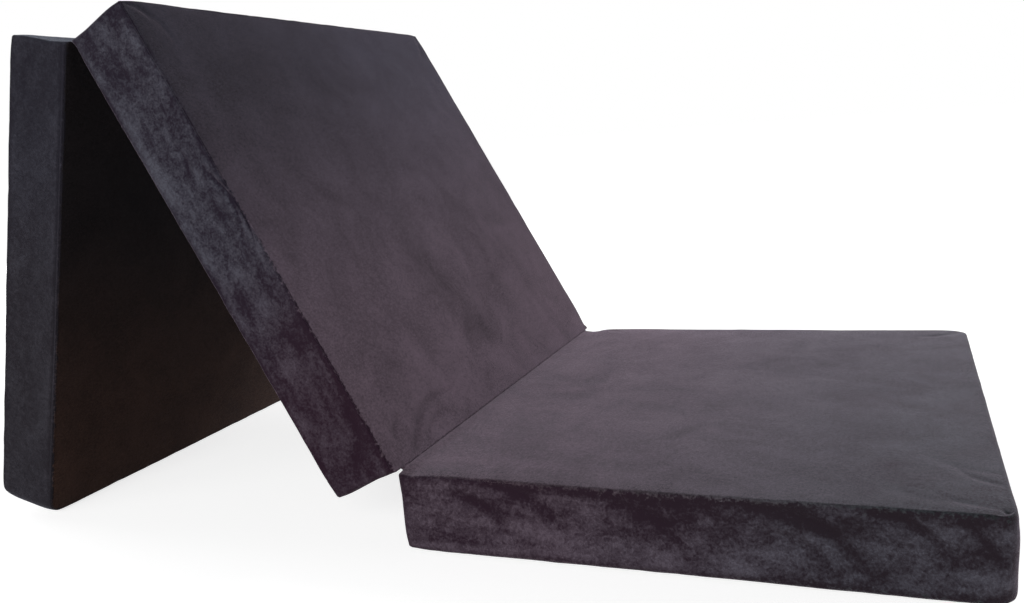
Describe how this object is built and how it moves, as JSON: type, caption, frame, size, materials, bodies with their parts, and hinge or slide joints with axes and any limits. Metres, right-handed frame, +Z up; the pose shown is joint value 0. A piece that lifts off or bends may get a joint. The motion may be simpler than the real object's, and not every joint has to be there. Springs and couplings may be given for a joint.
{
  "type": "folding futon mattress",
  "caption": "Tri-fold foam mattress in a zipped velour cover, half folded: a flat foot section, a leaning middle section and a hanging head section.",
  "frame": {"origin": "centre of the bounding box's base, on the floor the foot section lies on", "axes": "+X along the mattress towards the foot end, +Y across it towards the zipped side, +Z up"},
  "size_m": [1.3286, 0.8041, 0.6853],
  "materials": {
    "velour": "crushed velour, dark plum grey",
    "foam": "open-cell polyurethane foam",
    "zip_tape": "woven polyester tape",
    "zip_teeth": "moulded acetal",
    "slider_metal": "dark enamelled zinc"
  },
  "bodies": {
    "foot_section": {"foot_foam_core": "foam", "foot_top_panel": "velour", "foot_base_panel": "velour", "foot_side_band": "velour", "foot_zip_band_upper": "velour", "foot_zip_band_lower": "velour", "foot_zip_tape_upper": "zip_tape", "foot_zip_tape_lower": "zip_tape", "foot_zip_teeth_upper": "zip_teeth", "foot_zip_teeth_lower": "zip_teeth", "foot_zip_end_stops": "zip_teeth", "foot_fold_web": "velour"},
    "middle_section": {"middle_foam_core": "foam", "middle_top_panel": "velour", "middle_base_panel": "velour", "middle_side_band": "velour", "middle_zip_band_upper": "velour", "middle_zip_band_lower": "velour", "middle_zip_tape_upper": "zip_tape", "middle_zip_tape_lower": "zip_tape", "middle_zip_teeth_upper": "zip_teeth", "middle_zip_teeth_lower": "zip_teeth", "middle_zip_end_stops": "zip_teeth", "middle_foot_fold_web": "velour", "middle_head_fold_web": "velour"},
    "head_section": {"head_foam_core": "foam", "head_top_panel": "velour", "head_base_panel": "velour", "head_side_band": "velour", "head_zip_band_upper": "velour", "head_zip_band_lower": "velour", "head_zip_tape_upper": "zip_tape", "head_zip_tape_lower": "zip_tape", "head_zip_teeth_upper": "zip_teeth", "head_zip_teeth_lower": "zip_teeth", "head_zip_end_stops": "zip_teeth", "head_fold_web": "velour"},
    "foot_zip_runner": {"foot_zip_slider": "slider_metal"},
    "foot_zip_tab": {"foot_zip_pull": "slider_metal"},
    "middle_zip_runner": {"middle_zip_slider": "slider_metal"},
    "middle_zip_tab": {"middle_zip_pull": "slider_metal"},
    "head_zip_runner": {"head_zip_slider": "slider_metal"},
    "head_zip_tab": {"head_zip_pull": "slider_metal"}
  },
  "joints": [
    {"name": "fold_foot_to_middle", "type": "hinge", "parent": "foot_section", "child": "middle_section", "pos_m": [-0.00143, 0, 0.1005], "axis": [0, 1, 0], "range_deg": [-62, 118]},
    {"name": "fold_middle_to_head", "type": "hinge", "parent": "middle_section", "child": "head_section", "pos_m": [-0.40445, 0, 0.64333], "axis": [0, 1, 0], "range_deg": [-42.28, 137.72]},
    {"name": "foot_zip_slide", "type": "slide", "parent": "foot_section", "child": "foot_zip_runner", "axis": [-1, 0, 0], "range_m": [0, 0.4739], "deforming": ["foot_zip_teeth_upper", "foot_zip_teeth_lower"]},
    {"name": "foot_pull_turn", "type": "hinge", "parent": "foot_zip_runner", "child": "foot_zip_tab", "pos_m": [0.57352, 0.4025, 0.05], "axis": [0, 0, 1], "range_deg": [0, 175]},
    {"name": "middle_zip_slide", "type": "slide", "parent": "middle_section", "child": "middle_zip_runner", "axis": [-0.4695, 0, 0.8829], "range_m": [0, 0.4739], "deforming": ["middle_zip_teeth_upper", "middle_zip_teeth_lower"]},
    {"name": "middle_pull_turn", "type": "hinge", "parent": "middle_zip_runner", "child": "middle_zip_tab", "pos_m": [-0.08994, 0.4025, 0.15939], "axis": [0.8829, 0, 0.4695], "range_deg": [0, 175]},
    {"name": "head_zip_slide", "type": "slide", "parent": "head_section", "child": "head_zip_runner", "axis": [0.2466, 0, 0.9691], "range_m": [0, 0.4739], "deforming": ["head_zip_teeth_upper", "head_zip_teeth_lower"]},
    {"name": "head_pull_turn", "type": "hinge", "parent": "head_zip_runner", "child": "head_zip_tab", "pos_m": [-0.5952, 0.4025, 0.0986], "axis": [0.9691, 0, -0.2466], "range_deg": [0, 175]}
  ]
}
